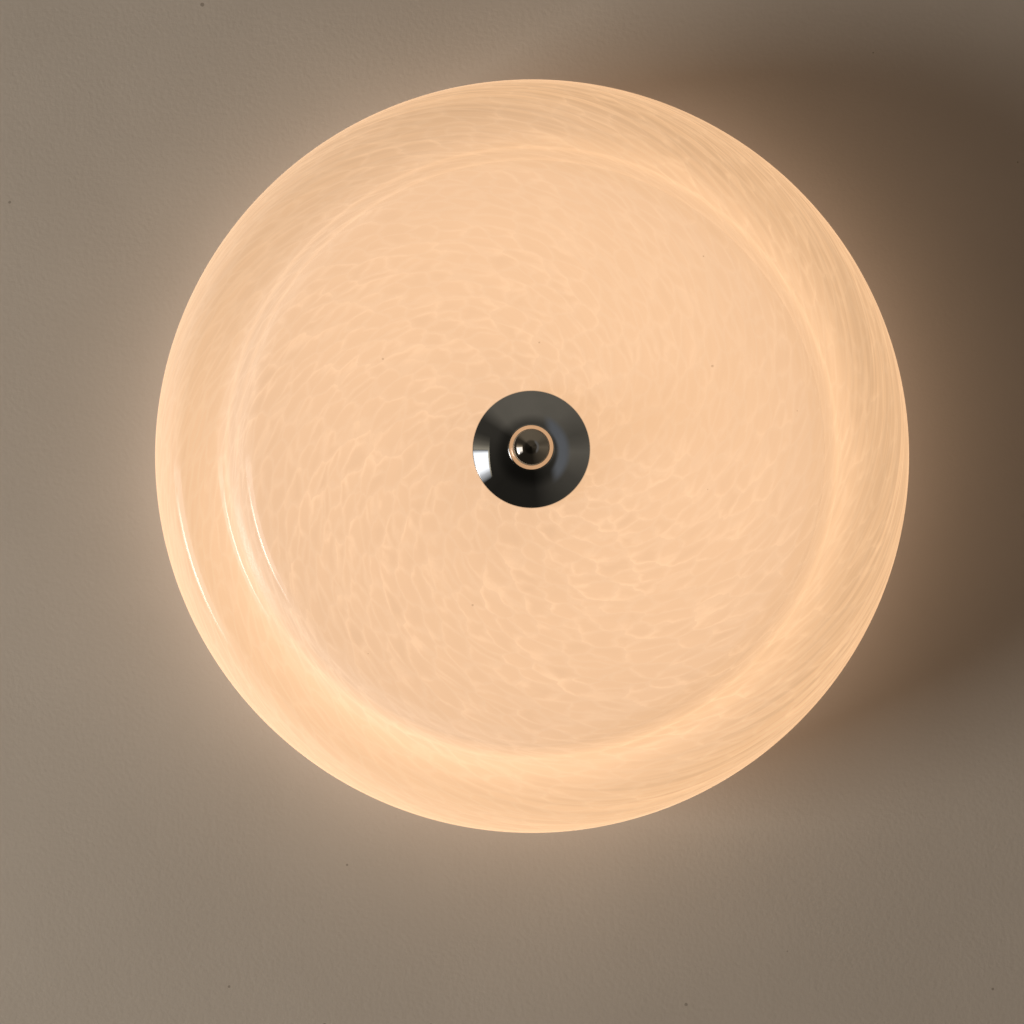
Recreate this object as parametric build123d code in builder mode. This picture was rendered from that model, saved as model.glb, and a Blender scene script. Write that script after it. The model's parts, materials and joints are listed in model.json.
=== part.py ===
from build123d import *
import os
from math import asin, cos, degrees, pi, radians, sin, sqrt, tan

# Glass ceiling light: a stepped dish of opal glass that hangs under a pressed steel pan on one
# threaded tube and is held by a domed cap and a ball nut. Three bulbs on a steel spider light it.
# Millimetres, +Z up. The origin is the middle of the pan's ceiling face.

# Glass dish, from the lip inwards
belly_radius = 200.0  # widest line of the glass
glass_wall = 4.5
lip_drop = 5.0  # from the ceiling to where the lip is rounded off
lip_inset = 10.0  # how far the lip stands inside the widest line
belly_height = 29.0  # from the lip down to the widest line
side_round = 42.0  # profile radius just below the widest line
side_turn = 45.0  # tilt of the wall where the side passes into the shoulder
shoulder_round = 15.0
shoulder_slope = 4.0
shoulder_flat = 14.9  # plain width between the shoulder's round and the step
step_root_round = 9.0
step_slope = 55.0
step_face = 15.9  # plain length of the step along its slope
step_nose_round = 12.0
disc_slope = 5.0  # tilt of the domed disc at its edge
seat_margin = 3.5  # flat middle of the disc beyond the cap

# Threaded tube and what is screwed on it
tube_radius = 5.0
tube_wall = 1.2
thread_clearance = 0.1
tube_stub = 3.0  # tube above the top nut
tube_edge = 0.4
nut_wall = 2.0  # metal beside the thread, across the flats
nut_height = 4.0
washer_rim = 4.0  # width of a washer's ring
washer_sheet = 1.2

# Glass support, cap and ball
slide_clearance = 0.3  # round the tube, for what slides off it
bush_wall = 1.9
bush_flange = 2.0
bush_flange_sheet = 1.4
plate_radius = 22.0
plate_sheet = 1.5
plate_edge = 0.5
plate_gasket_sheet = 2.0
cap_radius = 29.5
cap_round = 58.0  # profile radius of the cap's dome
cap_sheet = 1.0
cap_skirt = 1.6
cap_edge_round = 1.2
cap_gasket_sheet = 1.5
cap_gasket_rim = 4.0
cap_gasket_setback = 0.7
ball_radius = 11.5
ball_collar_radius = 8.2
ball_collar_height = 0.9
ball_seat_margin = 0.5
ball_grip = 9.0  # length of tube inside the ball
ball_end_gap = 1.5

# Ceiling pan
pan_sheet = 1.0
pan_gap = 8.0  # free ring between the pan and the lip of the glass
pan_rim = 11.0
pan_bend = 3.0
hem_radius = 1.3
well_radius = 52.0
well_depth = 24.0
well_draft = 3.0
rib_inset = 30.0  # from the pan's edge to the middle of the stiffening rib
rib_flat = 4.0
rib_slant = 5.0
rib_depth = 3.0
rib_bend = 2.5
slot_spacing = 150.0
slot_length = 20.0
slot_width = 5.5

# Holder spider
lamp_angles = (90, 210, 330)
lamp_drop = 39.0  # from the ceiling to the lamps' axes
spider_sheet = 1.5
hub_radius = 24.0
arm_width = 12.0
arm_reach = 68.0  # from the middle to the face that the holders stand on
arm_bend = 3.0
leg_tail = 15.0  # leg below the lamp axis
leg_round = 5.0

# Bulb
bulb_length = 78.0
globe_radius = 22.5
globe_wall = 1.0
neck_radius = 7.5
neck_straight = 2.0  # plain neck beyond the base
base_radius = 6.9
base_length = 17.0
base_edge = 0.8
tip_radius = 2.2
tip_length = 1.5
seal_length = 3.0
seal_radius = 3.2

# Lampholder, with its depth counted from the face on the spider's leg
holder_length = 33.0
holder_wall = 7.3
holder_lip_round = 1.2
socket_floor = 8.0
socket_clearance = 0.1
mouth_flare = 0.7
mouth_depth = 2.0
shell_sheet = 0.6
shell_length = 18.0
shell_flange = 3.0
contact_height = 4.0
contact_sheet = 0.5
contact_width = 4.0
contact_reach = 3.8
contact_crown = 1.6
contact_bend = 0.9
holder_screw_radius = 1.5
holder_screw_head = 2.3
holder_screw_head_height = 2.4
screw_clearance = 0.1
pocket_gap = 0.6  # between the leg's edge and the terminal pockets
pocket_depth = 7.0
pocket_height = 7.0
terminal_width = 5.0
terminal_height = 6.0
terminal_setback = 1.0
clamp_screw_radius = 1.8
clamp_screw_height = 1.2

# Terminal block in the well
block_place = 33.0  # from the middle, along +Y
pole_count = 3
pole_pitch = 10.0
pole_length = 8.6
block_width = 16.0
block_base = 4.5
pole_height = 9.0
pole_round = 1.2
block_lug = 8.0
wire_way_height = 7.0
wire_way_radius = 1.6
wire_way_depth = 4.0
pole_screw_pitch = 7.0
pole_screw_radius = 1.7
pole_screw_depth = 2.6
pole_screw_height = 1.8
block_screw_radius = 1.5
block_screw_head = 2.8
block_screw_head_height = 2.0

# Leads, grommet, clips and earth
lead_radius = 1.2
lead_pitch = 1.5  # half the distance between two leads side by side
grommet_angle = 30
grommet_place = 38.0
grommet_neck = 5.3
grommet_clearance = 0.2
grommet_bore = 3.6
grommet_flange = 2.2
grommet_flange_sheet = 1.8
lead_turn_depth = 10.0  # below the well, where the first supply lead turns outwards
lead_turn_step = 3.5  # the second one turns this much lower
lead_spread = 4.0  # how far leads stand above and below the lamp axis behind a terminal
outer_run = 46.0  # leads along the underside of the well
inner_run = 41.0
run_half_length = 14.0
run_clearance = 0.1
lead_rear_room = 13.0  # behind a terminal, where its lead turns aside
lead_straight = 4.0  # straight lead behind a terminal
supply_bends = ([(0.0, 15.5), (17.0, 11.0)], [(10.0, 19.5)])  # in the well, live and neutral
earth_bend = 20.5  # from the middle, where the earth lead turns
earth_lead_straight = 7.0  # straight earth lead before its barrel
bend_share = 0.45  # share of a run that a bend at its end takes up
clip_width = 8.0
clip_outer = 49.0
clip_inner = 32.0
clip_base = 1.4
clip_screw_place = 36.5
clip_screw_radius = 1.2
clip_screw_head = 2.4
clip_screw_head_height = 1.6
screw_end_stub = 0.8  # screw end above the floor of the well
earth_place = (-33.0, 8.0)
earth_tag_radius = 4.2
earth_tag_sheet = 0.8
earth_barrel_radius = 1.9
earth_barrel_end = 10.0
earth_barrel_length = 6.0
earth_screw_radius = 2.0
earth_screw_head = 3.6
earth_screw_head_height = 2.4
earth_screw_end = 3.0

# Heights and sizes that follow from these
floor_top = -well_depth
floor_low = floor_top - pan_sheet
spider_low = floor_low - spider_sheet
tube_hole = tube_radius + thread_clearance
nut_flat = tube_radius + nut_wall
holder_screw_hole = holder_screw_radius + screw_clearance
shell_inner = base_radius + thread_clearance
shell_outer = shell_inner + shell_sheet
socket_bore = shell_outer + socket_clearance
holder_radius = socket_bore + holder_wall
holder_screw_pitch = socket_bore + holder_wall / 2
tip_out = socket_floor + contact_height
base_out = tip_out + tip_length + seal_length
neck_out = base_out + base_length
globe_out = tip_out + bulb_length - globe_radius
hollow_out = globe_out - neck_out - neck_straight
neck_round = (hollow_out**2 + neck_radius**2 - globe_radius**2) / (2 * (globe_radius - neck_radius))
terminal_side = arm_width / 2 + pocket_gap + terminal_width / 2
seat_radius = cap_radius + seat_margin
ball_seat_radius = ball_collar_radius + ball_seat_margin
glass_hole = tube_radius + 2 * slide_clearance + bush_wall
cable_way_height = floor_top + wire_way_height
run_height = floor_low - lead_radius - run_clearance


def radial(angle):
    """Direction that points out from the middle at this angle."""
    return Vector(cos(radians(angle)), sin(radians(angle)), 0)


def place(angle, out, side, height):
    """Point at a distance out along an angle, moved sideways (anticlockwise) and up."""
    return radial(angle) * out + radial(angle + 90) * side + Vector(0, 0, height)


def upright(angle):
    """Upright plane through the middle: its x runs out along the angle and its y runs up."""
    return Plane(origin=(0, 0, 0), x_dir=radial(angle), z_dir=radial(angle - 90))


def crosswise(angle, out, height, side=0.0):
    """Plane square to the angle, at that distance out, that faces outwards."""
    return Plane(origin=place(angle, out, side, height), x_dir=radial(angle + 90), z_dir=radial(angle))


def save(piece, name):
    """Name a finished piece and write it to its own file."""
    piece.label = name
    export_step(piece, f"parts/{name}.step")


def glass_normal(tilt):
    """Outward direction of the glass in its profile, where the wall is tilted from the level."""
    return Vector(sin(radians(tilt)), -cos(radians(tilt)))


def along_wall(tilt, length):
    """Step inwards along a wall of that tilt."""
    return Vector(-cos(radians(tilt)), -sin(radians(tilt))) * length


os.makedirs("parts", exist_ok=True)

# Profile of the glass as rounds: centre, radius (hollow ones negative), first and last tilt
belly_level = -(lip_drop + belly_height)
lip_round = (belly_height**2 + lip_inset**2) / (2 * lip_inset)
lip_tilt = 90 + degrees(asin(belly_height / lip_round))
lip_centre = Vector(belly_radius - lip_round, belly_level)
side_centre = Vector(belly_radius - side_round, belly_level)
shoulder_centre = side_centre + glass_normal(side_turn) * (side_round - shoulder_round)
shoulder_end = shoulder_centre + glass_normal(shoulder_slope) * shoulder_round
root_start = shoulder_end + along_wall(shoulder_slope, shoulder_flat)
root_centre = root_start + glass_normal(shoulder_slope) * step_root_round
root_end = root_centre - glass_normal(step_slope) * step_root_round
nose_start = root_end + along_wall(step_slope, step_face)
nose_centre = nose_start - glass_normal(step_slope) * step_nose_round
disc_edge = nose_centre + glass_normal(disc_slope) * step_nose_round
disc_round = (disc_edge.X - seat_radius) / sin(radians(disc_slope))
disc_centre = disc_edge - glass_normal(disc_slope) * disc_round
glass_rounds = (
    (lip_centre, lip_round, lip_tilt, 90),
    (side_centre, side_round, 90, side_turn),
    (shoulder_centre, shoulder_round, side_turn, shoulder_slope),
    (root_centre, -step_root_round, shoulder_slope, step_slope),
    (nose_centre, step_nose_round, step_slope, disc_slope),
    (disc_centre, disc_round, disc_slope, 0),
)
glass_low = disc_centre.Y - disc_round
glass_floor = glass_low + glass_wall


def glass_arcs(inset):
    """Three points on each round of the glass, that far inside its outer face."""
    return [
        [centre + glass_normal(tilt) * (radius - inset) for tilt in (first, (first + last) / 2, last)]
        for centre, radius, first, last in glass_rounds
    ]


outer_arcs = glass_arcs(0)
inner_arcs = glass_arcs(glass_wall)
lip_outer = outer_arcs[0][0]
lip_inner = inner_arcs[0][0]
lip_top = (lip_outer + lip_inner) / 2 - along_wall(lip_tilt, glass_wall / 2)

# Glass dish, one blown wall of even thickness with a round lip and a hole in the middle
with BuildPart() as glass_shade:
    with BuildSketch(Plane.XZ):
        with BuildLine():
            for arcs, hole_level in ((outer_arcs, glass_low), (inner_arcs, glass_floor)):
                for arc, following in zip(arcs, arcs[1:]):
                    ThreePointArc(*arc)
                    if (following[0] - arc[-1]).length > glass_wall / 10:
                        Line(arc[-1], following[0])
                ThreePointArc(*arcs[-1])
                Line(arcs[-1][-1], (glass_hole, hole_level))
            ThreePointArc(lip_outer, lip_top, lip_inner)
            Line((glass_hole, glass_low), (glass_hole, glass_floor))
        make_face()
    revolve(axis=Axis.Z)
save(glass_shade.part, "glass_shade")

# Sleeve in the hole of the glass, with a flange that rests on the inner face
with BuildPart() as hole_bush:
    with BuildSketch(Plane.XY.offset(glass_low)):
        Circle(glass_hole - slide_clearance)
        Circle(tube_radius + slide_clearance, mode=Mode.SUBTRACT)
    extrude(amount=glass_wall)
    with BuildSketch(Plane.XY.offset(glass_floor)):
        Circle(glass_hole + bush_flange)
        Circle(tube_radius + slide_clearance, mode=Mode.SUBTRACT)
    extrude(amount=bush_flange_sheet)
save(hole_bush.part, "hole_bush")

# Rubber ring and steel disc on the inner face of the glass
with BuildPart() as plate_gasket:
    with BuildSketch(Plane.XY.offset(glass_floor)):
        Circle(plate_radius)
        Circle(glass_hole + bush_flange + slide_clearance, mode=Mode.SUBTRACT)
    extrude(amount=plate_gasket_sheet)
save(plate_gasket.part, "plate_gasket")

plate_low = glass_floor + plate_gasket_sheet
with BuildPart() as support_plate:
    with BuildSketch(Plane.XY.offset(plate_low)):
        Circle(plate_radius)
        Circle(tube_radius + slide_clearance, mode=Mode.SUBTRACT)
    extrude(amount=plate_sheet)
    chamfer(support_plate.edges().group_by(Axis.Z)[-1].sort_by(SortBy.RADIUS)[-1], plate_edge)
save(support_plate.part, "support_plate")

# Rubber ring under the edge of the cap
cap_gasket_radius = cap_radius - cap_gasket_setback
cap_level = glass_low - cap_gasket_sheet
with BuildPart() as cap_gasket:
    with BuildSketch(Plane.XY.offset(cap_level)):
        Circle(cap_gasket_radius)
        Circle(cap_gasket_radius - cap_gasket_rim, mode=Mode.SUBTRACT)
    extrude(amount=cap_gasket_sheet)
save(cap_gasket.part, "cap_gasket")

# Domed cap: a pressed dish with a short upright edge and a flat seat for the ball
dome_drop = sqrt(cap_round**2 - ball_seat_radius**2) - sqrt(cap_round**2 - cap_radius**2)
dome_level = cap_level - cap_skirt
ball_seat = dome_level - dome_drop
with BuildPart() as shade_cap:
    with BuildSketch(Plane.XZ):
        with BuildLine():
            Polyline((cap_radius, dome_level), (cap_radius, cap_level), (0, cap_level), (0, ball_seat))
            Line((0, ball_seat), (ball_seat_radius, ball_seat))
            RadiusArc((ball_seat_radius, ball_seat), (cap_radius, dome_level), -cap_round)
        make_face()
    revolve(axis=Axis.Z)
    skirt_face = shade_cap.faces().filter_by(GeomType.CYLINDER)[0]
    fillet(skirt_face.edges().group_by(Axis.Z)[0], cap_edge_round)
    offset(amount=-cap_sheet, openings=shade_cap.faces().sort_by(Axis.Z)[-1])
    with Locations((0, 0, ball_seat)):
        Hole(tube_radius + slide_clearance)
save(shade_cap.part, "shade_cap")

# Ball nut: a ball on a short collar, with a blind threaded bore
ball_level = ball_seat - ball_collar_height - sqrt(ball_radius**2 - ball_collar_radius**2)
tube_low = ball_seat - ball_grip
with BuildPart() as finial_ball:
    with Locations((0, 0, ball_level)):
        Sphere(ball_radius)
    with BuildSketch(Plane.XY.offset(ball_seat)):
        Circle(ball_collar_radius)
    extrude(amount=ball_level - ball_seat)
    split(bisect_by=Plane.XY.offset(ball_seat), keep=Keep.BOTTOM)
    with BuildSketch(Plane.XY.offset(ball_seat)):
        Circle(tube_hole)
    extrude(amount=-(ball_grip + ball_end_gap), mode=Mode.SUBTRACT)
save(finial_ball.part, "finial_ball")

# Threaded tube, from the well of the pan to the ball
top_nut_low = floor_top + washer_sheet
tube_top = top_nut_low + nut_height + tube_stub
with BuildPart() as hanging_tube:
    with BuildSketch(Plane.XY.offset(tube_low)):
        Circle(tube_radius)
        Circle(tube_radius - tube_wall, mode=Mode.SUBTRACT)
    extrude(amount=tube_top - tube_low)
    chamfer(hanging_tube.edges().filter_by(GeomType.CIRCLE).sort_by(SortBy.RADIUS)[-2:], tube_edge)
save(hanging_tube.part, "hanging_tube")

# Hexagon nuts on the tube, with turned corners
bottom_washer_low = spider_low - washer_sheet
nut_levels = {
    "tube_top_nut": top_nut_low,
    "tube_bottom_nut": bottom_washer_low - nut_height,
    "support_nut": plate_low + plate_sheet,
}
for nut_name, nut_low in nut_levels.items():
    with BuildPart() as hexagon_nut:
        with BuildSketch(Plane.XY.offset(nut_low)):
            RegularPolygon(radius=nut_flat, side_count=6, major_radius=False)
            Circle(tube_hole, mode=Mode.SUBTRACT)
        extrude(amount=nut_height)
        corner = nut_flat / cos(radians(30))
        turned_edge = (corner - nut_flat) / sqrt(3)
        with BuildSketch(Plane.XZ):
            with BuildLine():
                Polyline(
                    (0, nut_low),
                    (nut_flat, nut_low),
                    (corner, nut_low + turned_edge),
                    (corner, nut_low + nut_height - turned_edge),
                    (nut_flat, nut_low + nut_height),
                    (0, nut_low + nut_height),
                    close=True,
                )
            make_face()
        revolve(axis=Axis.Z, mode=Mode.INTERSECT)
    save(hexagon_nut.part, nut_name)

# Plain washers above and below the floor of the well
for washer_name, washer_low in (("tube_top_washer", floor_top), ("tube_bottom_washer", bottom_washer_low)):
    with BuildPart() as washer:
        with BuildSketch(Plane.XY.offset(washer_low)):
            Circle(tube_hole + washer_rim)
            Circle(tube_hole, mode=Mode.SUBTRACT)
        extrude(amount=washer_sheet)
    save(washer.part, washer_name)

# Ceiling pan: a pressed sheet with a wiring well, a stiffening rib and a rim with a rolled hem
pan_radius = lip_inner.X - pan_gap
rib_radius = pan_radius - rib_inset
grommet_point = place(grommet_angle, grommet_place, 0, floor_top)
lug_place = (pole_count * pole_pitch + block_lug) / 2
lug_points = [(side * lug_place, block_place) for side in (-1, 1)]
lead_runs = [(first + second) / 2 for first, second in zip(lamp_angles, lamp_angles[1:])]
with BuildPart() as ceiling_pan:
    with BuildSketch(Plane.XZ):
        with BuildLine():
            FilletPolyline(
                (tube_hole, floor_top),
                (well_radius, floor_top),
                (well_radius + well_draft, 0),
                (rib_radius - rib_flat / 2 - rib_slant, 0),
                (rib_radius - rib_flat / 2, -rib_depth),
                (rib_radius + rib_flat / 2, -rib_depth),
                (rib_radius + rib_flat / 2 + rib_slant, 0),
                (pan_radius, 0),
                (pan_radius, -pan_rim),
                radius=[pan_bend, pan_bend, rib_bend, rib_bend, rib_bend, rib_bend, pan_bend],
            )
            offset(amount=pan_sheet, side=Side.RIGHT)
        make_face()
        with Locations((pan_radius - hem_radius, -pan_rim)):
            Circle(hem_radius)
    revolve(axis=Axis.Z)
    with BuildSketch(Plane.XY):
        with GridLocations(slot_spacing, 0, 2, 1):
            SlotOverall(slot_length, slot_width)
    extrude(amount=-2 * pan_sheet, mode=Mode.SUBTRACT)
    with Locations(grommet_point):
        Hole(grommet_neck + grommet_clearance, depth=2 * pan_sheet)
    with Locations((*earth_place, floor_top)):
        Hole(earth_screw_radius + screw_clearance, depth=2 * pan_sheet)
    with Locations(*[(*point, floor_top) for point in lug_points]):
        Hole(block_screw_radius + screw_clearance, depth=2 * pan_sheet)
    with Locations(*[place(angle, clip_screw_place, 0, floor_top) for angle in lead_runs]):
        Hole(clip_screw_radius + screw_clearance, depth=2 * pan_sheet)
save(ceiling_pan.part, "ceiling_pan")

# Spider: a hub under the well and three bent arms that carry the holders
leg_low = -(lamp_drop + leg_tail)
with BuildPart() as holder_spider:
    with BuildSketch(Plane.XY.offset(floor_low)):
        Circle(hub_radius)
    extrude(amount=-spider_sheet)
    for angle in lamp_angles:
        with BuildSketch(upright(angle)):
            with BuildLine():
                FilletPolyline(
                    (0, floor_low), (arm_reach, floor_low), (arm_reach, leg_low), radius=arm_bend
                )
                offset(amount=spider_sheet, side=Side.RIGHT)
            make_face()
        extrude(amount=arm_width / 2, both=True)
    leg_corners = holder_spider.edges().group_by(Axis.Z)[0].filter_by(lambda e: e.length < 2 * spider_sheet)
    fillet(leg_corners, leg_round)
    with Locations((0, 0, floor_low)):
        Hole(tube_hole)
    with Locations(
        *[
            crosswise(angle, arm_reach, -lamp_drop + side * holder_screw_pitch)
            for angle in lamp_angles
            for side in (-1, 1)
        ]
    ):
        Hole(holder_screw_hole, depth=2 * spider_sheet)
save(holder_spider.part, "holder_spider")


def lamp_point(out, radius):
    """Profile point of a lamp piece: depth beyond the spider's leg and radius about its axis."""
    return (arm_reach + out, radius - lamp_drop)


def globe_points(inset):
    """Neck, tangent points and end of the bulb's glass, that far inside its outer face."""
    share = (globe_radius - inset) / (globe_radius + neck_round)
    return (
        lamp_point(neck_out, neck_radius - inset),
        lamp_point(globe_out - hollow_out, neck_radius - inset),
        lamp_point(globe_out - hollow_out * share, (neck_radius + neck_round) * share),
        lamp_point(globe_out + globe_radius - inset, 0),
    )


for number, angle in enumerate(lamp_angles, start=1):
    lamp_axis = Axis((0, 0, -lamp_drop), radial(angle))

    # Porcelain holder with a socket, two screw holes and two terminal pockets
    with BuildPart() as lampholder:
        with BuildSketch(upright(angle)):
            with BuildLine():
                FilletPolyline(
                    lamp_point(0, 0),
                    lamp_point(0, holder_radius),
                    lamp_point(holder_length, holder_radius),
                    lamp_point(holder_length, socket_bore + mouth_flare),
                    lamp_point(holder_length - mouth_depth, socket_bore),
                    lamp_point(socket_floor, socket_bore),
                    lamp_point(socket_floor, 0),
                    radius=[0, holder_lip_round, 0, 0, 0, 0, 0],
                    close=True,
                )
            make_face()
        revolve(axis=lamp_axis)
        mouth = [
            crosswise(angle, arm_reach + holder_length, -lamp_drop + side * holder_screw_pitch)
            for side in (-1, 1)
        ]
        with Locations(*mouth):
            CounterBoreHole(
                holder_screw_hole, holder_screw_head + screw_clearance, holder_screw_head_height
            )
        with BuildSketch(crosswise(angle, arm_reach, -lamp_drop)):
            pocket_side = terminal_side + pocket_gap + holder_wall / 2
            with Locations((-pocket_side, 0), (pocket_side, 0)):
                Rectangle(terminal_width + 2 * pocket_gap + holder_wall, pocket_height)
        extrude(amount=pocket_depth, mode=Mode.SUBTRACT)
    save(lampholder.part, f"lampholder_{number}")

    # Threaded brass shell that lines the socket, a cup with an open floor
    with BuildPart() as screw_shell:
        with BuildSketch(upright(angle)):
            with BuildLine():
                Polyline(
                    lamp_point(socket_floor, shell_outer - shell_flange),
                    lamp_point(socket_floor, shell_outer),
                    lamp_point(socket_floor + shell_length, shell_outer),
                    lamp_point(socket_floor + shell_length, shell_inner),
                    lamp_point(socket_floor + shell_sheet, shell_inner),
                    lamp_point(socket_floor + shell_sheet, shell_outer - shell_flange),
                    close=True,
                )
            make_face()
        revolve(axis=lamp_axis)
    save(screw_shell.part, f"screw_shell_{number}")

    # Sprung tongue that the tip of the bulb presses on
    with BuildPart() as centre_contact:
        with BuildSketch(upright(angle)):
            with BuildLine():
                FilletPolyline(
                    lamp_point(socket_floor, contact_reach),
                    lamp_point(socket_floor + contact_height / 2, contact_reach),
                    lamp_point(tip_out, contact_crown),
                    lamp_point(tip_out, -contact_crown),
                    lamp_point(socket_floor + contact_height / 2, -contact_reach),
                    radius=contact_bend,
                )
                offset(amount=contact_sheet, side=Side.RIGHT)
            make_face()
        extrude(amount=contact_width / 2, both=True)
    save(centre_contact.part, f"centre_contact_{number}")

    # Bulb: round opal glass, screw base, and the seal with the tip contact
    with BuildPart() as bulb_globe:
        with BuildSketch(upright(angle)):
            with BuildLine():
                for inset in (0, globe_wall):
                    neck, neck_end, tangent, end = globe_points(inset)
                    straight = Line(neck, neck_end)
                    hollow = TangentArc(neck_end, tangent, tangent=straight % 1)
                    TangentArc(tangent, end, tangent=hollow % 1)
                Line(globe_points(0)[0], globe_points(globe_wall)[0])
                Line(globe_points(0)[-1], globe_points(globe_wall)[-1])
            make_face()
        revolve(axis=lamp_axis)
    save(bulb_globe.part, f"bulb_globe_{number}")

    with BuildPart() as bulb_base:
        with BuildSketch(upright(angle)):
            with BuildLine():
                Polyline(
                    lamp_point(base_out, 0),
                    lamp_point(base_out, base_radius - base_edge),
                    lamp_point(base_out + base_edge, base_radius),
                    lamp_point(neck_out, base_radius),
                    lamp_point(neck_out, 0),
                    close=True,
                )
            make_face()
        revolve(axis=lamp_axis)
    save(bulb_base.part, f"bulb_base_{number}")

    with BuildPart() as bulb_seal:
        with BuildSketch(upright(angle)):
            with BuildLine():
                Polyline(
                    lamp_point(tip_out, 0),
                    lamp_point(tip_out, tip_radius),
                    lamp_point(tip_out + tip_length, tip_radius),
                    lamp_point(tip_out + tip_length, seal_radius),
                    lamp_point(base_out, base_radius - base_edge),
                    lamp_point(base_out, 0),
                    close=True,
                )
            make_face()
        revolve(axis=lamp_axis)
    save(bulb_seal.part, f"bulb_seal_{number}")

# Long screws through the holders into the legs
with BuildPart() as holder_screws:
    for angle in lamp_angles:
        for side in (-1, 1):
            height = side * holder_screw_pitch - lamp_drop
            seat = arm_reach + holder_length - holder_screw_head_height
            with BuildSketch(crosswise(angle, seat, height)):
                Circle(holder_screw_head)
            extrude(amount=holder_screw_head_height)
            with BuildSketch(crosswise(angle, seat, height)):
                Circle(holder_screw_radius)
            extrude(amount=-(holder_length - holder_screw_head_height + spider_sheet))
save(holder_screws.part, "holder_screws")

# Brass wire clamps in the pockets, and their screws, which face sideways
with BuildPart() as holder_terminals:
    for angle in lamp_angles:
        for side in (-1, 1):
            plane = crosswise(angle, arm_reach + terminal_setback, -lamp_drop, side * terminal_side)
            with BuildSketch(plane):
                Rectangle(terminal_width, terminal_height)
            extrude(amount=pocket_depth - terminal_setback)
save(holder_terminals.part, "holder_terminals")

with BuildPart() as clamp_screws:
    clamp_out = arm_reach + (terminal_setback + pocket_depth) / 2
    for angle in lamp_angles:
        for side in (-1, 1):
            seat = place(angle, clamp_out, side * (terminal_side + terminal_width / 2), -lamp_drop)
            with BuildSketch(Plane(origin=seat, z_dir=radial(angle + 90) * side)):
                Circle(clamp_screw_radius)
            extrude(amount=clamp_screw_height)
save(clamp_screws.part, "clamp_screws")

# Terminal block: a base with two lugs and three raised poles
pole_top = floor_top + block_base + pole_height
with BuildPart() as terminal_block:
    with BuildSketch(Plane.XY.offset(floor_top)):
        with Locations((0, block_place)):
            RectangleRounded(pole_count * pole_pitch, block_width, pole_round)
            SlotOverall(pole_count * pole_pitch + 2 * block_lug, block_lug)
    extrude(amount=block_base)
    with BuildSketch(Plane.XY.offset(floor_top + block_base)):
        with Locations((0, block_place)):
            with GridLocations(pole_pitch, 0, pole_count, 1):
                RectangleRounded(pole_length, block_width, pole_round)
    extrude(amount=pole_height)
    with Locations((0, block_place, pole_top)):
        with GridLocations(pole_pitch, pole_screw_pitch, pole_count, 2):
            Hole(pole_screw_radius + screw_clearance, depth=pole_screw_depth)
    for facing in (-1, 1):
        mouth_plane = Plane(
            origin=(0, block_place + facing * block_width / 2, cable_way_height),
            x_dir=(1, 0, 0),
            z_dir=(0, facing, 0),
        )
        with BuildSketch(mouth_plane):
            with GridLocations(pole_pitch, 0, pole_count, 1):
                Circle(wire_way_radius)
        extrude(amount=-wire_way_depth, mode=Mode.SUBTRACT)
    with Locations(*[(*point, floor_top + block_base) for point in lug_points]):
        Hole(block_screw_radius + screw_clearance)
save(terminal_block.part, "terminal_block")

with BuildPart() as pole_screws:
    with BuildSketch(Plane.XY.offset(pole_top - pole_screw_depth)):
        with Locations((0, block_place)):
            with GridLocations(pole_pitch, pole_screw_pitch, pole_count, 2):
                Circle(pole_screw_radius)
    extrude(amount=pole_screw_height)
save(pole_screws.part, "pole_screws")

with BuildPart() as block_screws:
    with BuildSketch(Plane.XY.offset(floor_top + block_base)):
        with Locations(*lug_points):
            Circle(block_screw_head)
    extrude(amount=block_screw_head_height)
    with BuildSketch(Plane.XY.offset(floor_top + block_base)):
        with Locations(*lug_points):
            Circle(block_screw_radius)
    extrude(amount=-(block_base + pan_sheet))
save(block_screws.part, "block_screws")

# Rubber grommet in the floor of the well, with a groove for the sheet
with BuildPart() as lead_grommet:
    grommet_outer = grommet_neck + grommet_flange
    for level, radius, height in (
        (floor_low - grommet_flange_sheet, grommet_outer, grommet_flange_sheet),
        (floor_low, grommet_neck, pan_sheet),
        (floor_top, grommet_outer, grommet_flange_sheet),
    ):
        with BuildSketch(Plane.XY.offset(level)):
            with Locations((grommet_point.X, grommet_point.Y)):
                Circle(radius)
                Circle(grommet_bore, mode=Mode.SUBTRACT)
        extrude(amount=height)
    rim_edges = lead_grommet.edges().filter_by(GeomType.CIRCLE).sort_by(SortBy.RADIUS)[-4:].sort_by(Axis.Z)
    fillet([rim_edges[0], rim_edges[-1]], grommet_flange_sheet / 2)
save(lead_grommet.part, "lead_grommet")

# Leads: from the block to the first holder, and on from holder to holder under the well
terminal_back = arm_reach + terminal_setback
lead_mouth = terminal_back - lead_straight
lead_back = terminal_back - lead_rear_room
lead_in = -lead_pitch - lamp_drop
lead_out = lead_pitch - lamp_drop
way_end = block_place - block_width / 2 + wire_way_depth
upper_turn = floor_low - lead_turn_depth
lower_turn = upper_turn - lead_turn_step


def supply_route(pole, bends, grommet_side, turn_level, terminal):
    """From a pole of the block through the grommet to a terminal of the first holder."""
    drop = place(grommet_angle, grommet_place, grommet_side * lead_pitch, 0)
    first_lamp = lamp_angles[0]
    return [
        Vector(pole * pole_pitch, way_end, cable_way_height),
        *[Vector(x, y, cable_way_height) for x, y in bends],
        Vector(drop.X, drop.Y, cable_way_height),
        Vector(drop.X, drop.Y, turn_level),
        place(first_lamp, lead_back, terminal * terminal_side, lead_in - lead_spread),
        place(first_lamp, lead_mouth, terminal * terminal_side, lead_in),
        place(first_lamp, terminal_back, terminal * terminal_side, lead_in),
    ]


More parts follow.
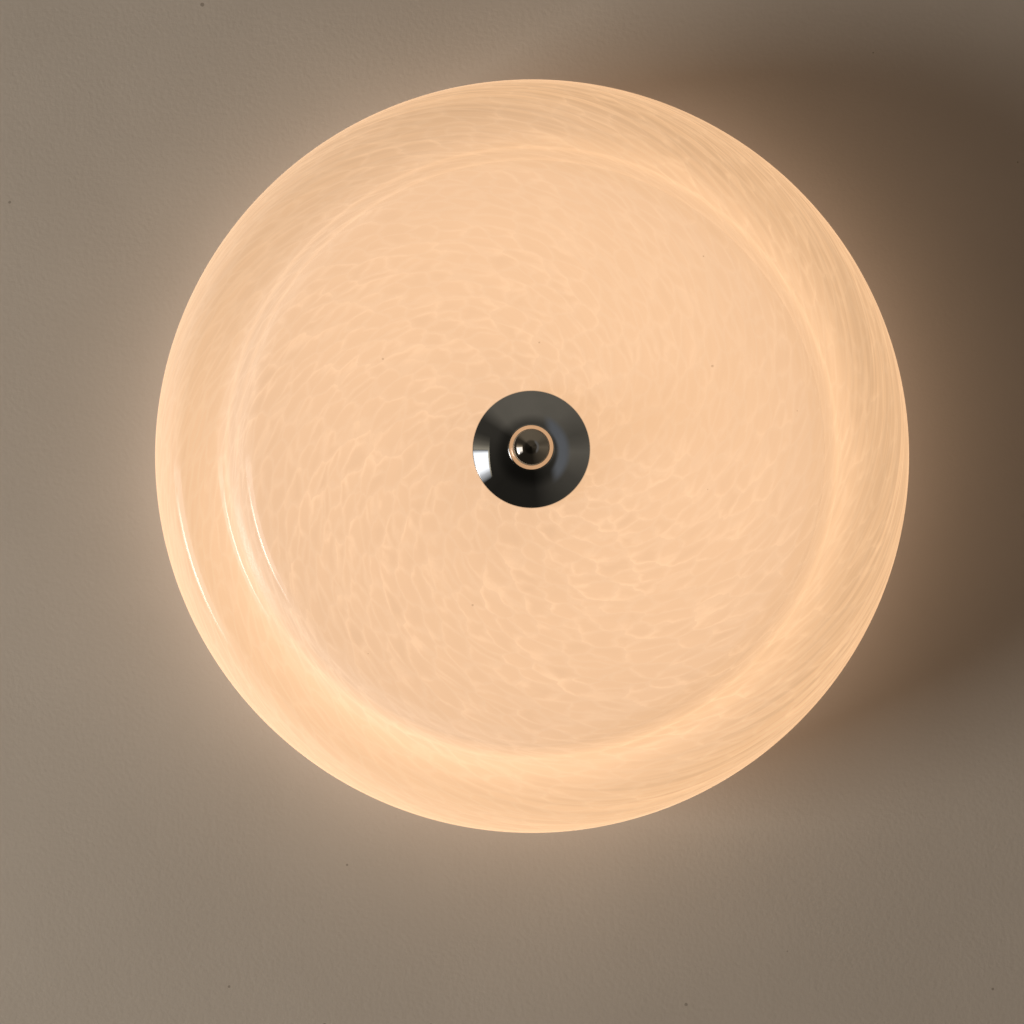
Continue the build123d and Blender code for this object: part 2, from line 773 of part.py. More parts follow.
def link_route(first, run, side):
    """From a terminal of one holder, along the underside of the well, to the next holder."""
    start_angle = lamp_angles[first]
    end_angle = lamp_angles[first + 1]
    return [
        place(start_angle, terminal_back, side * terminal_side, lead_out),
        place(start_angle, lead_mouth, side * terminal_side, lead_out),
        place(start_angle, lead_back, side * terminal_side, lead_out + lead_spread),
        place(lead_runs[first], run, -run_half_length, run_height),
        place(lead_runs[first], run, run_half_length, run_height),
        place(end_angle, lead_back, -side * terminal_side, lead_in - lead_spread),
        place(end_angle, lead_mouth, -side * terminal_side, lead_in),
        place(end_angle, terminal_back, -side * terminal_side, lead_in),
    ]


live_routes = (
    supply_route(0, supply_bends[0], -1, lower_turn, 1),
    link_route(0, outer_run, 1),
    link_route(1, inner_run, -1),
)
neutral_routes = (
    supply_route(1, supply_bends[1], 1, upper_turn, -1),
    link_route(0, inner_run, -1),
    link_route(1, outer_run, 1),
)
tag_target = Vector(-pole_pitch, way_end - block_width / 2)
tag_direction = (tag_target - Vector(*earth_place)).normalized()
barrel_level = floor_top + earth_barrel_radius
tag_centre = Vector(*earth_place, barrel_level)
earth_routes = (
    [
        Vector(-pole_pitch, way_end, cable_way_height),
        Vector(-pole_pitch, earth_bend, cable_way_height),
        tag_centre + tag_direction * (earth_barrel_end + earth_lead_straight),
        tag_centre + tag_direction * earth_barrel_end,
    ],
)


def widest_bends(points):
    """Bend radius at each inner point, nearly as large as the two runs beside it allow."""
    bends = []
    for before, point, after in zip(points, points[1:], points[2:]):
        turn = radians((point - before).get_angle(after - point))
        bends.append(bend_share * min((point - before).length, (after - point).length) / tan(turn / 2))
    return bends


def lead_wire(points):
    """Route of one lead: straight runs and tangent arcs."""
    with BuildLine() as route:
        FilletPolyline(*points, radius=widest_bends(points))
    return route.wire()


lead_sets = {"live_leads": live_routes, "neutral_leads": neutral_routes, "earth_lead": earth_routes}
for lead_name, routes in lead_sets.items():
    wires = [lead_wire(points) for points in routes]
    with BuildPart() as leads:
        for wire in wires:
            with BuildSketch(Plane(origin=wire @ 0, z_dir=wire % 0)):
                Circle(lead_radius)
            sweep(path=wire)
    save(leads.part, lead_name)
    section = pi * lead_radius**2
    lengths = [round(wire.length, 1) for wire in wires]
    volume_share = leads.part.volume / (section * sum(wire.length for wire in wires))
    print(lead_name, "lengths", lengths, "volume over section times length", round(volume_share, 5))
    print("  bend radii", [[round(bend, 1) for bend in widest_bends(points)] for points in routes])

# Saddle clips that hold the leads against the well, and their screws
clip_low = run_height - lead_radius - clip_base
with BuildPart() as lead_clips:
    for angle in lead_runs:
        with BuildSketch(upright(angle)):
            with BuildLine():
                Polyline(
                    (clip_inner, floor_low),
                    (clip_outer, floor_low),
                    (clip_outer, clip_low),
                    (clip_inner, clip_low),
                    close=True,
                )
            make_face()
            for run in (inner_run, outer_run):
                with Locations((run, run_height)):
                    Circle(lead_radius + run_clearance, mode=Mode.SUBTRACT)
                with Locations((run, (run_height + floor_low) / 2)):
                    Rectangle(2 * (lead_radius + run_clearance), floor_low - run_height, mode=Mode.SUBTRACT)
        extrude(amount=clip_width / 2, both=True)
    with Locations(*[place(angle, clip_screw_place, 0, clip_low) for angle in lead_runs]):
        Hole(clip_screw_radius + screw_clearance)
save(lead_clips.part, "lead_clips")

with BuildPart() as clip_screws:
    clip_points = [place(angle, clip_screw_place, 0, 0) for angle in lead_runs]
    with BuildSketch(Plane.XY.offset(clip_low)):
        with Locations(*[(point.X, point.Y) for point in clip_points]):
            Circle(clip_screw_head)
    extrude(amount=-clip_screw_head_height)
    with BuildSketch(Plane.XY.offset(clip_low)):
        with Locations(*[(point.X, point.Y) for point in clip_points]):
            Circle(clip_screw_radius)
    extrude(amount=floor_top + screw_end_stub - clip_low)
save(clip_screws.part, "clip_screws")

# Earth tag with its barrel, and its screw
with BuildPart() as earth_tag:
    with BuildSketch(Plane.XY.offset(floor_top)):
        with Locations(earth_place):
            Circle(earth_tag_radius)
    extrude(amount=earth_tag_sheet)
    barrel_start = tag_centre + tag_direction * (earth_barrel_end - earth_barrel_length)
    with BuildSketch(Plane(origin=barrel_start, z_dir=tag_direction)):
        Circle(earth_barrel_radius)
    extrude(amount=earth_barrel_length)
    with Locations((*earth_place, floor_top + earth_tag_sheet)):
        Hole(earth_screw_radius + screw_clearance)
save(earth_tag.part, "earth_tag")

with BuildPart() as earth_screw:
    with BuildSketch(Plane.XY.offset(floor_top + earth_tag_sheet)):
        with Locations(earth_place):
            Circle(earth_screw_head)
    extrude(amount=earth_screw_head_height)
    with BuildSketch(Plane.XY.offset(floor_top + earth_tag_sheet)):
        with Locations(earth_place):
            Circle(earth_screw_radius)
    extrude(amount=-(earth_tag_sheet + pan_sheet + earth_screw_end))
save(earth_screw.part, "earth_screw")
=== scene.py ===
import json
from math import asin, atan2, ceil, cos, degrees, hypot, pi, radians, sin

import bpy
from mathutils import Matrix, Vector


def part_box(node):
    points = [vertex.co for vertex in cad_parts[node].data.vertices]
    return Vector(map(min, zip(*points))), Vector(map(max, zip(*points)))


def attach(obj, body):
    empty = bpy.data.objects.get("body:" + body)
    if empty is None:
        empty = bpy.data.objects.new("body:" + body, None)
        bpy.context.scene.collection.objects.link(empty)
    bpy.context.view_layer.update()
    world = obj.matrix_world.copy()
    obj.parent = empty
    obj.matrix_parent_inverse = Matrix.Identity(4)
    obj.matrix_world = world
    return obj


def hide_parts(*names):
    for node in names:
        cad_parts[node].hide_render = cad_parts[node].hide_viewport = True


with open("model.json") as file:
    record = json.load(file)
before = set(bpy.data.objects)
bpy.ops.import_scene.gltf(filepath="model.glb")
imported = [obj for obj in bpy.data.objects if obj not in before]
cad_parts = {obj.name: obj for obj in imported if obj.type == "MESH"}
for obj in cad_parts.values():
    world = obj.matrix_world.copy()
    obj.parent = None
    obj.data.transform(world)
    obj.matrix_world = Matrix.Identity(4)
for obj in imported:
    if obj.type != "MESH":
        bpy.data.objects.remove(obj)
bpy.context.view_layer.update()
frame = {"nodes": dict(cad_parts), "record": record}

# Glass ceiling light: the looks. Metres and degrees, +Z up, origin in the middle of the pan's ceiling face.
nodes = frame["nodes"]

# Meshes: points nearer than this are one point, and edges sharper than this stay sharp
merge_distance = 1e-5
sharp_angle = 40.0

# Profile of the glass dish, from the lip inwards
belly_radius = 0.200
glass_wall = 0.0045
lip_drop = 0.005
lip_inset = 0.010
lip_steps = 8
belly_height = 0.029
side_round = 0.042
side_turn = 45.0
shoulder_round = 0.015
shoulder_slope = 4.0
shoulder_flat = 0.0149
step_root_round = 0.009
step_slope = 55.0
step_face = 0.0159
step_nose_round = 0.012
disc_slope = 5.0
seat_radius = 0.033
glass_hole = 0.0075
glass_arc_step = 5.0
glass_run_step = 0.004
glass_flat_step = 0.006
glass_segments = 256

# Threads: the tube's fine one and the rolled one of the bulb bases
tube_radius = 0.005
tube_bore = 0.0038
tube_edge = 0.0004
tube_pitch = 0.001
tube_thread = 0.0005
tube_wave_steps = 6
tube_segments = 40
bulb_ways = (90.0, 210.0, 330.0)
base_radius = 0.0069
base_length = 0.017
base_edge = 0.0008
base_pitch = 0.00282
base_thread = 0.0008
base_thread_end = 0.0118
base_wave_steps = 10
base_segments = 64
skirt_inset = 0.0003

# Noise: the middle of its values, and the span that most of them lie in
noise_middle = 0.5
noise_span = (0.3, 0.7)

# Cells in the glass, blown and twisted, and drawn out more and more towards the rim
cell_size = 0.0088
cell_twist = (10.4, 5.0)
cell_girth = (1.0, -1.9)
cell_rise = (0.30, 3.1)
cell_warp = 0.009
warp_scale = 90.0
warp_detail = 4.0
warp_roughness = 0.55
cloud_scale = 26.0
wisp_scale = 160.0
patch_scale = 95.0
vein_width = (0.09, 0.30)
patch_span = (0.36, 0.62)
patch_least = 0.10
tail_span = (-0.35, 0.55)
tail_least = 0.15
pit_span = (0.05, 0.40)

# How much the cells show: strength of each of their parts, and how they fade on one side of the disc
vein_strength = 1.6
tail_strength = 0.35
pit_strength = 0.9
cloud_strength = 0.35
figure_strength = 0.071
cloud_span = (0.34, 0.62)
cloud_least = 0.4
clear_way = (-0.574, 0.819)
clear_span = (-0.14, 0.08)
clear_least = 0.42
outer_run = (0.145, 0.185)

# Streaks round the rim: broad bands and fine threads, strongest on one side and fading up the wall
streak_twist = (12.0, 40.0)
streak_girth = 0.2
streak_rise = 0.3
band_scale = 110.0
band_span = (0.36, 0.66)
band_run = (0.155, 0.215)
band_strength = (0.015, 0.19)
thread_scale = 320.0
thread_span = (0.54, 0.74)
thread_run = (0.174, 0.228)
thread_strength = 0.37
wall_fade_run = (0.228, 0.248)
wall_fade = 0.25
rim_streak_way = 335.0
rim_streak_span = (-0.9, 0.5)
rim_streak_least = 0.32

# Glow of the glass along its wall: distance from the middle, strength, and how much warmer it is
glow_reach = 0.285
glow_stops = (
    (0.030, 0.985, 0.00), (0.060, 1.020, 0.00), (0.090, 1.030, 0.00), (0.115, 1.020, 0.00),
    (0.130, 0.995, 0.00), (0.139, 0.985, 0.00), (0.148, 0.965, 0.01), (0.154, 0.885, 0.01),
    (0.161, 0.940, 0.02), (0.167, 1.100, 0.03), (0.172, 1.100, 0.03), (0.178, 1.000, 0.04),
    (0.184, 0.930, 0.05), (0.190, 0.900, 0.06), (0.197, 0.930, 0.06), (0.207, 0.950, 0.06),
    (0.230, 0.962, 0.05), (0.248, 0.900, -0.10), (0.262, 0.800, -0.18), (0.285, 0.650, -0.25),
)
glow_most = 2.0
glow_strength = 0.97
# Painted light in the glow: the disc a little brighter on one side, and the rim brighter on one side and in
# two lobes round it
disc_painted_light_way = 325.0
disc_painted_light = 0.03
rim_run = (0.145, 0.180)
rim_painted_light_way = 110.0
rim_painted_light = 0.10
rim_painted_lobe_way = 140.0
rim_painted_lobe = 0.045
step_start_run = (0.150, 0.160)
step_end_run = (0.172, 0.186)
# Painted shade in the glow: one side of the step darker
step_painted_shade_way = 205.0
step_painted_shade = 0.12

# Opal glass: tones of its glow and its body beside the veins and on them, its gloss, and a few dark specks
glow_tones = ((0.893, 0.543, 0.306), (0.893, 0.551, 0.316))
glass_tones = ((0.155, 0.18, 0.215), (0.185, 0.21, 0.245))
glass_rough = (0.035, 0.07)
glass_index = 1.52
glass_bump = 0.03
glass_bump_depth = 0.0008
band_bump_share = 0.5
glass_specks = {"Scale": 24.0, "Size": 0.016, "Share": 0.30}
speck_glow = (0.30, 0.17, 0.08)
speck_glow_share = 0.35
speck_tone = (0.10, 0.09, 0.08)
speck_tone_share = 0.5

# Opal bulbs, lit
bulb_drift_scale = 60.0
bulb_glow_tones = ((1.0, 0.80, 0.54), (1.0, 0.84, 0.60))
bulb_glow_strength = 1.15
bulb_tones = ((0.90, 0.88, 0.84), (0.94, 0.92, 0.88))
bulb_rough = (0.12, 0.2)

# Solid finishes: two tones, least and most roughness, and the scales of tones, roughness and grain
usual_scales = (40, 90, 900)
nylon_scales = (160, 200, 2000)
lead_scales = (200, 300, 2500)
tone_span = (0.35, 0.68)
grain_depth = 0.0005
coat_rough = 0.08
stripe_yellow = (0.78, 0.62, 0.04)
stripe_edge = 0.05
solid_finishes = {
    "chrome": dict(
        tones=((0.64, 0.65, 0.66), (0.59, 0.60, 0.61)), rough=(0.015, 0.05),
        metallic=1.0, scales=(60, 140, 2000), grain=0.002,
    ),
    # Chrome of the ball, tinted warm: a painted warm reflection of the glowing glass
    "ball_chrome_painted_warm_reflection": dict(
        tones=((0.66, 0.59, 0.51), (0.62, 0.55, 0.47)), rough=(0.015, 0.04),
        metallic=1.0, scales=(90, 140, 2000), grain=0.002,
    ),
    "painted_pan": dict(
        tones=((0.80, 0.80, 0.77), (0.74, 0.73, 0.69)), rough=(0.28, 0.42),
        scales=(18, 60, 700), grain=0.05, coat=0.2, dust=0.16,
    ),
    "zinc_steel": dict(
        tones=((0.60, 0.61, 0.63), (0.47, 0.48, 0.49)), rough=(0.26, 0.46),
        metallic=1.0, scales=(220, 260, 1800), grain=0.04,
    ),
    "brass": dict(
        tones=((0.72, 0.50, 0.20), (0.50, 0.32, 0.12)), rough=(0.24, 0.44),
        metallic=1.0, scales=(150, 240, 1800), grain=0.03,
    ),
    "bulb_metal": dict(
        tones=((0.70, 0.69, 0.66), (0.58, 0.57, 0.54)), rough=(0.2, 0.34),
        metallic=1.0, scales=(200, 240, 1800), grain=0.02,
    ),
    "seal_black": dict(
        tones=((0.025, 0.025, 0.03), (0.04, 0.035, 0.035)), rough=(0.1, 0.25), grain=0.01, coat=0.3
    ),
    "porcelain": dict(
        tones=((0.84, 0.83, 0.78), (0.79, 0.77, 0.70)), rough=(0.10, 0.20),
        scales=(70, 120, 900), grain=0.03, coat=0.4,
    ),
    "rubber": dict(
        tones=((0.035, 0.034, 0.033), (0.06, 0.058, 0.055)), rough=(0.62, 0.82),
        scales=(160, 200, 2200), grain=0.15,
    ),
    "bush_nylon": dict(
        tones=((0.76, 0.74, 0.66), (0.70, 0.67, 0.58)), rough=(0.42, 0.55), scales=nylon_scales
    ),
    "block_nylon": dict(
        tones=((0.80, 0.80, 0.75), (0.74, 0.73, 0.67)), rough=(0.34, 0.5),
        scales=(110, 200, 2000), grain=0.04, dust=0.2,
    ),
    "clip_nylon": dict(
        tones=((0.72, 0.72, 0.69), (0.65, 0.65, 0.62)), rough=(0.4, 0.55), scales=nylon_scales
    ),
    "lead_brown": dict(
        tones=((0.13, 0.052, 0.022), (0.17, 0.07, 0.032)), rough=(0.3, 0.42), scales=lead_scales
    ),
    "lead_blue": dict(
        tones=((0.025, 0.10, 0.38), (0.035, 0.14, 0.46)), rough=(0.3, 0.42), scales=lead_scales
    ),
    "lead_green_yellow": dict(
        tones=((0.10, 0.36, 0.06), (0.08, 0.30, 0.05)), rough=(0.3, 0.42), scales=lead_scales
    ),
    "pale_floor": dict(
        tones=((0.62, 0.60, 0.57), (0.58, 0.56, 0.53)), rough=(0.5, 0.65), scales=(2, 6, 60)
    ),
}

# Dust on what faces up
dust_tone = (0.5, 0.47, 0.42)
dust_scale = 130.0
dust_span = (0.38, 0.66)
dust_slope = (0.5, 0.95)

# Plaster of the ceiling, with a fine and a coarse grain and a few flecks
plaster_tones = ((0.70, 0.67, 0.63), (0.75, 0.72, 0.68))
plaster_broad_scale = 6.0
plaster_fine_scale = 430.0
plaster_coarse_scale = 180.0
plaster_coarse_share = 0.5
plaster_bump = 0.20
plaster_rough = 0.9
plaster_specular = 0.2
plaster_flecks = {"Scale": 16.0, "Size": 0.018, "Share": 0.4}
fleck_tone = (0.20, 0.17, 0.14)
fleck_tone_share = 0.5

# Camera, as the photograph was taken: from below, a little to one side
photo_size = 1024
sensor_millimetres = 36.0
focal_pixels = 1878.0
camera_place = Vector((0.0, 0.048, -1.034))
camera_aim = Vector((-0.0103, 0.0301, -0.034))
camera_up = Vector((0.0, -1.0, 0.0))
camera_near = 0.01

# Stage: a ceiling with an opening behind the pan, and a floor
pan_bend = 0.003
ceiling_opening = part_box("ceiling_pan")[1][0] - pan_bend
ceiling_segments = 128
ceiling_reach = 2.0
patch_gap = 0.0004
floor_reach = 6.0
floor_level = -2.4

# Panels on the left that show only in gloss: span along Y, levels, colour, and glare from the +Y end on
panel_distance = 2.0
panels = (
    (
        "bright_panel", (0.10, 1.20), (-0.74, -1.00), (1.0, 0.97, 0.93),
        ((0, 0.0), (0.25, 5.0), (0.5, 14.0), (0.75, 11.0), (1, 0.0)),
    ),
    (
        "pale_panel", (-0.10, 1.30), (-0.55, -2.10), (0.97, 0.98, 1.0),
        ((0, 0.0), (0.25, 0.7), (0.4, 1.7), (0.9, 1.7), (1, 0.0)),
    ),
    (
        "warm_panel", (-0.75, 1.25), (-0.55, -2.20), (1.0, 0.87, 0.66),
        ((0, 0.1), (0.2, 0.55), (0.5, 0.7), (0.6, 0.62), (0.68, 0.40), (0.78, 0.14), (0.89, 0.04), (1, 0.0)),
    ),
)

# Daylight from the left, which the gloss doesn't show, and a soft light above the pan
daylight_azimuth = 165.0
daylight_warmth = (1.0, 0.90, 0.76)
daylight_distance = 3.2
daylight_levels = (-0.55, -1.42)
daylight_width = 1.42
daylight_glare = 21.8
top_light_place = (0.3, -0.4, 1.3)
top_light_size = 1.2
top_light_power = 6.0
top_light_colour = (1, 1, 1)

# Surroundings: a dim light that falls off towards +Y, a pale one from above and a plain backdrop
dim_tones = ((0.175, 0.125, 0.088), (0.034, 0.025, 0.018))
dim_span = (-0.65, 0.45)
upper_tone = (0.55, 0.55, 0.55)
upper_span = (0.10, 0.30)
backdrop_tone = (0.62, 0.60, 0.57)

# What the gloss shows all round: way round and brightness, darker far down, with a pale band low on one side
gloss_tones = (
    (0, 0.15), (30, 0.085), (60, 0.055), (85, 0.02), (135, 0.02), (200, 0.045), (214, 0.045), (230, 0.15),
    (270, 0.155), (310, 0.145), (338, 0.095), (348, 0.11), (360, 0.15),
)
gloss_warmth = (1.0, 0.88, 0.70)
gloss_low_span = (-0.90, -0.76)
gloss_low_share = 0.4
pale_rise = (-0.91, -0.87)
pale_fall = (-0.83, -0.74)
pale_way = -8.0
pale_side = (0.25, 0.42)
pale_tone = (0.140, 0.143, 0.150)


# Modelling
def clear_selection():
    """Leave edit mode and select nothing."""
    if bpy.context.object and bpy.context.object.mode != "OBJECT":
        bpy.ops.object.mode_set(mode="OBJECT")
    bpy.ops.object.select_all(action="DESELECT")


def drawn_line(name, points):
    """A line drawn point by point: one corner is placed and drawn on to each further point."""
    clear_selection()
    bpy.ops.mesh.primitive_plane_add(size=glass_wall, location=points[0])
    piece = bpy.context.object
    piece.name = name
    bpy.ops.object.transform_apply(location=True, rotation=True, scale=True)
    bpy.ops.object.mode_set(mode="EDIT")
    bpy.ops.mesh.select_all(action="SELECT")
    bpy.ops.mesh.merge(type="CENTER")
    for point, following in zip(points, points[1:]):
        way = Vector(following) - Vector(point)
        bpy.ops.mesh.extrude_vertices_move(TRANSFORM_OT_translate={"value": way})
    bpy.ops.object.mode_set(mode="OBJECT")
    return piece


def spun_piece(name, stations, segments, run=None):
    """A round piece: a profile of (radius, height) stations is drawn and spun about the upright axis."""
    piece = drawn_line(name, [(radius, 0.0, height) for radius, height in stations])
    if run:
        attribute = piece.data.attributes.new("wall_run", "FLOAT", "POINT")
        attribute.data.foreach_set("value", run)
    bpy.ops.object.mode_set(mode="EDIT")
    bpy.ops.mesh.select_all(action="SELECT")
    bpy.ops.mesh.spin(steps=segments, angle=2 * pi, center=(0, 0, 0), axis=(0, 0, 1))
    bpy.ops.mesh.select_all(action="SELECT")
    bpy.ops.mesh.remove_doubles(threshold=merge_distance)
    bpy.ops.mesh.normals_make_consistent(inside=False)
    bpy.ops.object.mode_set(mode="OBJECT")
    bpy.ops.object.shade_smooth_by_angle(angle=radians(sharp_angle))
    return piece


def glass_normal(tilt):
    """Outward direction of the glass in its profile, where the wall is tilted from the level."""
    return Vector((sin(radians(tilt)), -cos(radians(tilt))))


def along_wall(tilt, length):
    """Step inwards along a wall of that tilt."""
    return Vector((-cos(radians(tilt)), -sin(radians(tilt)))) * length


def glass_rounds():
    """The rounds of the glass profile: centre, radius (hollow ones negative), first and last tilt."""
    belly_level = -(lip_drop + belly_height)
    lip_round = (belly_height**2 + lip_inset**2) / (2 * lip_inset)
    lip_tilt = 90 + degrees(asin(belly_height / lip_round))
    side_centre = Vector((belly_radius - side_round, belly_level))
    shoulder_centre = side_centre + glass_normal(side_turn) * (side_round - shoulder_round)
    shoulder_end = shoulder_centre + glass_normal(shoulder_slope) * shoulder_round
    root_start = shoulder_end + along_wall(shoulder_slope, shoulder_flat)
    root_centre = root_start + glass_normal(shoulder_slope) * step_root_round
    root_end = root_centre - glass_normal(step_slope) * step_root_round
    nose_start = root_end + along_wall(step_slope, step_face)
    nose_centre = nose_start - glass_normal(step_slope) * step_nose_round
    disc_edge = nose_centre + glass_normal(disc_slope) * step_nose_round
    disc_round = (disc_edge.x - seat_radius) / sin(radians(disc_slope))
    disc_centre = disc_edge - glass_normal(disc_slope) * disc_round
    return (
        (Vector((belly_radius - lip_round, belly_level)), lip_round, lip_tilt, 90),
        (side_centre, side_round, 90, side_turn),
        (shoulder_centre, shoulder_round, side_turn, shoulder_slope),
        (root_centre, -step_root_round, shoulder_slope, step_slope),
        (nose_centre, step_nose_round, step_slope, disc_slope),
        (disc_centre, disc_round, disc_slope, 0),
    )


def straight_points(points, target):
    """Evenly spaced points on the straight from the last point to the target, the target included."""
    if not points:
        return [target]
    way = target - points[-1]
    if way.length < merge_distance:
        return []
    steps = ceil(way.length / glass_flat_step)
    return [points[-1] + way * step / steps for step in range(1, steps + 1)]


def glass_stations(inset):
    """Profile points from the lip to the hole, that far inside the outer face."""
    points = []
    for centre, radius, first, last in glass_rounds():
        turn = radians(first - last)
        steps = ceil(max(abs(degrees(turn)) / glass_arc_step, abs(turn * radius) / glass_run_step))
        for step in range(steps + 1):
            tilt = first + (last - first) * step / steps
            point = centre + glass_normal(tilt) * (radius - inset)
            points += straight_points(points, point)
    points += straight_points(points, Vector((glass_hole, points[-1].y)))
    return points


def glass_dish():
    """The blown dish: one wall of even thickness with a round lip and a hole in the middle."""
    outer = glass_stations(0.0)
    inner = glass_stations(glass_wall)
    middle = (outer[0] + inner[0]) / 2
    across = (outer[0] - inner[0]) / 2
    lip_tilt = glass_rounds()[0][2]
    over = -along_wall(lip_tilt, glass_wall / 2)
    lip_turns = [pi * step / lip_steps for step in range(1, lip_steps)]
    lip = [middle + across * -cos(turn) + over * sin(turn) for turn in lip_turns]
    profile = list(reversed(outer)) + list(reversed(lip)) + inner + [outer[-1]]
    run = [outer[-1].x]
    for point, following in zip(outer[::-1], outer[-2::-1]):
        run.append(run[-1] + (following - point).length)
    run_back = [run[-1]] * len(lip) + list(reversed(run))[: len(inner)]
    run_back += [run[0]] * (len(profile) - len(run) - len(run_back))
    dish = spun_piece("glass_dish", [tuple(point) for point in profile], glass_segments, run + run_back)
    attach(dish, "shade")
    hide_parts("glass_shade")
    dish.data.materials.append(finishes["opal_glass"])


def wall_stations(radius, low, high, step):
    """Stations up a straight wall, about a step apart, both ends included."""
    count = ceil((high - low) / step)
    return [(radius, low + (high - low) * index / count) for index in range(count + 1)]


def roll_thread(piece, crest, depth, pitch, first, last):
    """Roll a thread into a round wall: the points sink in a wave that climbs one pitch in each turn."""
    for point in piece.data.vertices:
        x, y, height = point.co
        if hypot(x, y) > crest - merge_distance and first < height < last:
            run_out = min(1.0, (height - first) / pitch, (last - height) / pitch)
            wave = (1 - cos(2 * pi * height / pitch - atan2(y, x))) / 2
            sunk = 1 - depth * run_out * wave / crest
            point.co = (x * sunk, y * sunk, height)


def threaded_tube():
    """The steel tube in the middle, threaded from end to end."""
    low, high = (corner[2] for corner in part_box("hanging_tube"))
    stations = [(tube_bore, low), (tube_radius - tube_edge, low)]
    stations += wall_stations(tube_radius, low + tube_edge, high - tube_edge, tube_pitch / tube_wave_steps)
    stations += [(tube_radius - tube_edge, high), (tube_bore, high), (tube_bore, low)]
    tube = spun_piece("threaded_tube", stations, tube_segments)
    roll_thread(tube, tube_radius, tube_thread, tube_pitch, low, high)
    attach(tube, "base")
    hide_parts("hanging_tube")
    tube.data.materials.append(finishes["zinc_steel"])


def bulb_screw_bases():
    """The bulbs' metal bases: a rolled thread, a plain skirt and a flared end, made once and copied."""
    skirt_radius = base_radius - skirt_inset
    stations = [(0.0, 0.0), (base_radius - base_edge, 0.0)]
    stations += wall_stations(base_radius, base_edge, base_thread_end, base_pitch / base_wave_steps)
    stations += [(skirt_radius, base_thread_end + base_edge), (skirt_radius, base_length - 2 * base_edge)]
    stations += [(base_radius, base_length - base_edge), (base_radius, base_length), (0.0, base_length)]
    pattern = spun_piece("screw_base", stations, base_segments)
    roll_thread(pattern, base_radius, base_thread, base_pitch, 0.0, base_thread_end)
    low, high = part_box("bulb_base_1")
    out, height = low[1], (low[2] + high[2]) / 2
    for number, way in enumerate(bulb_ways, 1):
        piece = pattern.copy()
        piece.data = pattern.data.copy()
        piece.name = f"bulb_screw_base_{number}"
        bpy.context.scene.collection.objects.link(piece)
        clear_selection()
        piece.select_set(True)
        bpy.context.view_layer.objects.active = piece
        piece.rotation_euler = (0, pi / 2, radians(way))
        piece.location = (out * cos(radians(way)), out * sin(radians(way)), height)
        bpy.ops.object.transform_apply(location=True, rotation=True, scale=True)
        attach(piece, f"bulb_{number}")
        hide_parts(f"bulb_base_{number}")
        piece.data.materials.append(finishes["bulb_metal"])
    bpy.data.objects.remove(pattern)


# Shader nodes
def give(tree, sockets, values):
    """Give each socket a value or a link."""
    for label, value in values.items():
        if isinstance(value, bpy.types.NodeSocket):
            tree.links.new(value, sockets[label])
        else:
            sockets[label].default_value = value


def add(tree, kind, inputs=None, **options):
    """Add a node, set its options and give its inputs a value or a link."""
    made = tree.nodes.new(kind)
    for option, value in options.items():
        setattr(made, option, value)
    give(tree, made.inputs, inputs or {})
    return made


def calc(tree, operation, *values):
    """A Math node's result."""
    return add(tree, "ShaderNodeMath", dict(enumerate(values)), operation=operation).outputs[0]


def vector_calc(tree, operation, first, second):
    """A Vector Math node's outputs."""
    return add(tree, "ShaderNodeVectorMath", {0: first, 1: second}, operation=operation).outputs


def scaled(tree, vector, scale):
    """A vector or colour times a value."""
    return add(tree, "ShaderNodeVectorMath", {0: vector, "Scale": scale}, operation="SCALE").outputs[0]


def parts_of(tree, vector):
    """X, Y and Z of a vector."""
    return add(tree, "ShaderNodeSeparateXYZ", {0: vector}).outputs


def channels_of(tree, colour):
    """Red, green and blue of a colour."""
    return add(tree, "ShaderNodeSeparateColor", {0: colour}).outputs


def mix_values(tree, factor, first, second):
    """Two values mixed by a factor."""
    return add(tree, "ShaderNodeMix", {0: factor, 2: first, 3: second}, data_type="FLOAT").outputs[0]


def opaque(colour):
    """Three numbers get a full alpha, and a link stays as it is."""
    return colour if isinstance(colour, bpy.types.NodeSocket) else (*colour, 1)


def blend_colour(tree, factor, first, second, way="MIX"):
    """Two colours mixed by a factor."""
    inputs = {0: factor, 6: opaque(first), 7: opaque(second)}
    return add(tree, "ShaderNodeMix", inputs, data_type="RGBA", blend_type=way).outputs[2]


def spread(tree, value, low, high, to_low=0.0, to_high=1.0, smooth=True):
    """A value moved from one range to another and held inside it."""
    kind = "SMOOTHSTEP" if smooth else "LINEAR"
    inputs = {0: value, 1: low, 2: high, 3: to_low, 4: to_high}
    return add(tree, "ShaderNodeMapRange", inputs, interpolation_type=kind).outputs[0]


def noise(tree, place, scale, detail=2.0, roughness=0.5, output=0):
    """A Noise texture's value, or its colour."""
    inputs = {"Vector": place, "Scale": scale, "Detail": detail, "Roughness": roughness}
    return add(tree, "ShaderNodeTexNoise", inputs).outputs[output]


def bump(tree, height, strength, depth):
    """A normal that follows a height."""
    inputs = {"Height": height, "Strength": strength, "Distance": depth}
    return add(tree, "ShaderNodeBump", inputs).outputs[0]


def object_place(tree):
    """Object coordinates."""
    return add(tree, "ShaderNodeTexCoord").outputs["Object"]


def set_stops(ramp, stops):
    """Give a colour ramp these stops: place and colour."""
    elements = ramp.color_ramp.elements
    while len(elements) < len(stops):
        elements.new(0.5)
    for element, (where, colour) in zip(elements, stops):
        element.position = where
        element.color = (*colour, 1)


